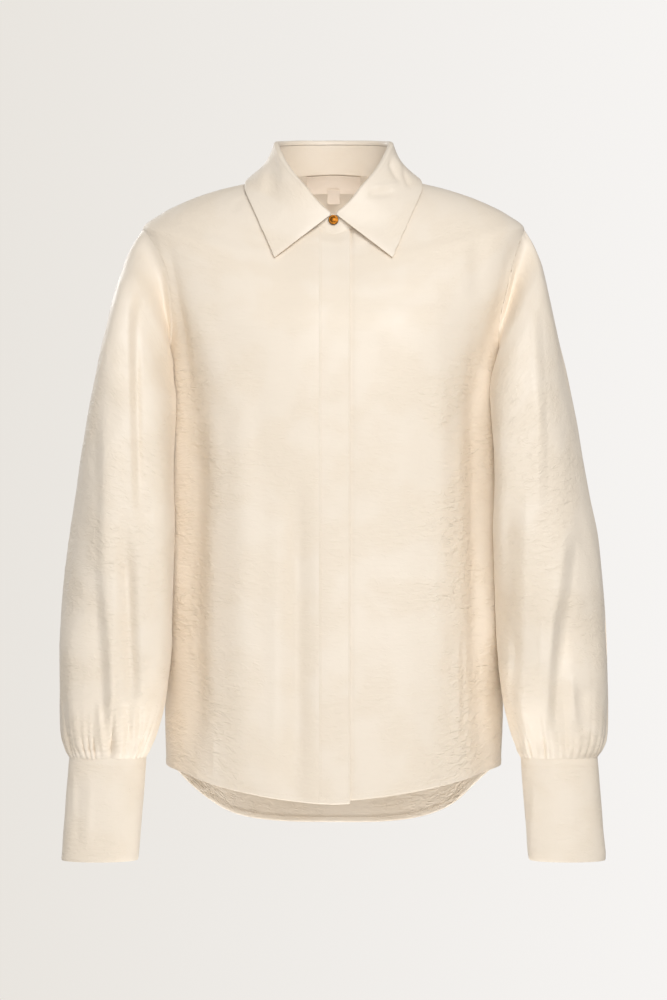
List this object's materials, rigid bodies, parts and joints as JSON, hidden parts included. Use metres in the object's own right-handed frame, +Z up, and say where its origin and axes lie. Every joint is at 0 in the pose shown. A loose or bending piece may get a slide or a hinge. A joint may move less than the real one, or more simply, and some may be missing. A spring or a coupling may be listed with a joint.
{
  "type": "viscose blouse",
  "caption": "Loose satin blouse with a pointed shirt collar, concealed button front, dropped full sleeves gathered into deep cuffs, and a curved hem longer at the back.",
  "frame": {"origin": "between the shoulders at the height of the neck seam, where the wearer carries the blouse", "axes": "+Z up, -Y to the front of the blouse, +X to the wearer's left"},
  "size_m": [0.566, 0.2512, 0.7527],
  "materials": {
    "viscose_satin": "cream viscose satin, softly shining and finely crinkled",
    "button_metal": "aged brass, turned and polished",
    "label_ribbon": "smooth woven ribbon, blank"
  },
  "bodies": {
    "root": {"front_right": "viscose_satin", "front_left": "viscose_satin", "fly_placket": "viscose_satin", "back": "viscose_satin", "collar_stand": "viscose_satin", "collar_leaf": "viscose_satin", "sleeve_right": "viscose_satin", "sleeve_left": "viscose_satin", "cuff_right": "viscose_satin", "cuff_left": "viscose_satin", "collar_button": "button_metal", "neck_label": "label_ribbon", "size_tab": "label_ribbon"}
  },
  "joints": []
}
